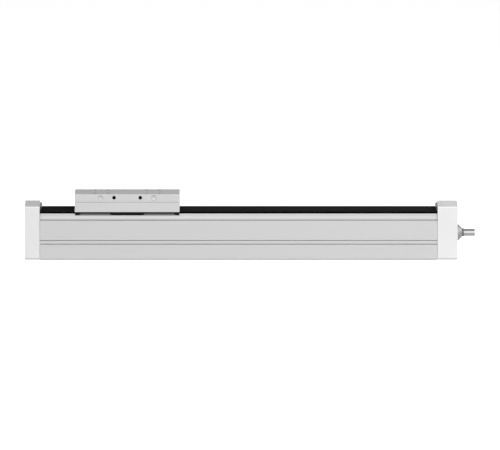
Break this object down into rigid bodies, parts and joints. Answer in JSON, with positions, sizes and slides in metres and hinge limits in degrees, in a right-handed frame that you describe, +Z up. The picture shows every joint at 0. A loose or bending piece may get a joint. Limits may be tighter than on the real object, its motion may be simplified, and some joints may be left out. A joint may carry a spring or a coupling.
{
  "type": "ball screw linear axis",
  "caption": "Long extruded beam with end blocks, a black top cover, a carriage that slides along it and a ball screw inside with a plain drive shaft at one end.",
  "frame": {"origin": "middle of the beam's underside, on its mounting face", "axes": "+X along the beam towards the drive shaft, +Y towards the rear, +Z up"},
  "size_m": [0.516, 0.06, 0.075],
  "materials": {
    "beam_anodised": "satin clear anodised",
    "carriage_anodised": "satin clear anodised",
    "block_coating": "light grey coating",
    "ground_steel": "ground",
    "turned_steel": "turned",
    "cover_black": "satin black",
    "seal_rubber": "matt black",
    "buffer_rubber": "matt dark grey",
    "cap_plastic": "moulded black",
    "wiper_plastic": "moulded black"
  },
  "bodies": {
    "base": {"base_profile": "beam_anodised", "drive_end_block": "block_coating", "idle_end_block": "block_coating", "guide_rail_front": "ground_steel", "guide_rail_rear": "ground_steel", "top_cover": "cover_black", "seal_strip_front": "seal_rubber", "seal_strip_rear": "seal_rubber", "buffer_idle": "buffer_rubber", "buffer_drive": "buffer_rubber", "bearing_outer_rings": "ground_steel"},
    "screw": {"ball_screw": "ground_steel", "bearing_inner_rings": "ground_steel", "lock_nut": "turned_steel"},
    "carriage": {"carriage_body": "carriage_anodised", "carriage_saddle": "carriage_anodised", "runner_block_front_idle": "ground_steel", "runner_block_front_drive": "ground_steel", "runner_block_rear_idle": "ground_steel", "runner_block_rear_drive": "ground_steel", "runner_end_caps": "cap_plastic", "ball_nut": "ground_steel", "cover_wiper_idle": "wiper_plastic", "cover_wiper_drive": "wiper_plastic"}
  },
  "joints": [
    {"name": "carriage_slide", "type": "slide", "parent": "base", "child": "carriage", "axis": [1, 0, 0], "range_m": [-0.0375, 0.2929]},
    {"name": "screw_turn", "type": "hinge", "parent": "base", "child": "screw", "pos_m": [0, 0, 0.028], "axis": [1, 0, 0], "range_deg": [-10550, 1356]}
  ],
  "couplings": [
    {"joint": "screw_turn", "follows": "carriage_slide", "rad_per_m": -628.32}
  ]
}
